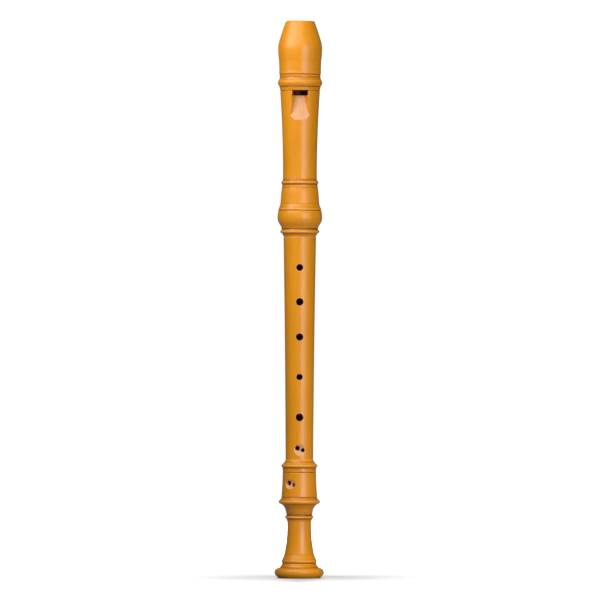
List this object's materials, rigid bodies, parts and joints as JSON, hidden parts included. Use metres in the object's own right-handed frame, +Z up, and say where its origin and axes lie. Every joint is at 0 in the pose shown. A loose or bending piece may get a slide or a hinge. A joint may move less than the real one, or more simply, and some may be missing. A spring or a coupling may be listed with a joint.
{
  "type": "soprano recorder",
  "caption": "Turned wooden soprano recorder with a beaked head joint and its cedar block, a slim middle joint on corked tenons and a foot joint with a spreading bell.",
  "frame": {"origin": "centre of the bell's end face, on the bore's axis, the recorder standing on its bell", "axes": "+Z up the bore from the bell to the tip of the beak; the window and the finger holes face -Y; +X is to the right of someone who looks at the window"},
  "size_m": [0.0288, 0.0288, 0.325],
  "materials": {
    "boxwood": "honey stained, satin oiled",
    "cedar": "bare, fine straight grain",
    "cork": "bare cork, lightly greased"
  },
  "bodies": {
    "middle": {"middle_joint": "boxwood"},
    "upper_cork": {"upper_tenon_cork": "cork"},
    "head": {"head_joint": "boxwood"},
    "block": {"block": "cedar"},
    "lower_cork": {"lower_tenon_cork": "cork"},
    "foot": {"foot_joint": "boxwood"}
  },
  "joints": [
    {"name": "head_twist", "type": "hinge", "parent": "middle", "child": "upper_cork", "pos_m": [0, 0, 0.2105], "axis": [0, 0, 1], "continuous": true},
    {"name": "head_pull", "type": "slide", "parent": "upper_cork", "child": "head", "axis": [0, 0, 1], "range_m": [0, 0.0245]},
    {"name": "block_push", "type": "slide", "parent": "head", "child": "block", "axis": [0, 0, 1], "range_m": [0, 0.042]},
    {"name": "foot_twist", "type": "hinge", "parent": "lower_cork", "child": "middle", "pos_m": [0, 0, 0.0642], "axis": [0, 0, 1], "continuous": true},
    {"name": "foot_pull", "type": "slide", "parent": "foot", "child": "lower_cork", "axis": [0, 0, 1], "range_m": [0, 0.0115]}
  ]
}
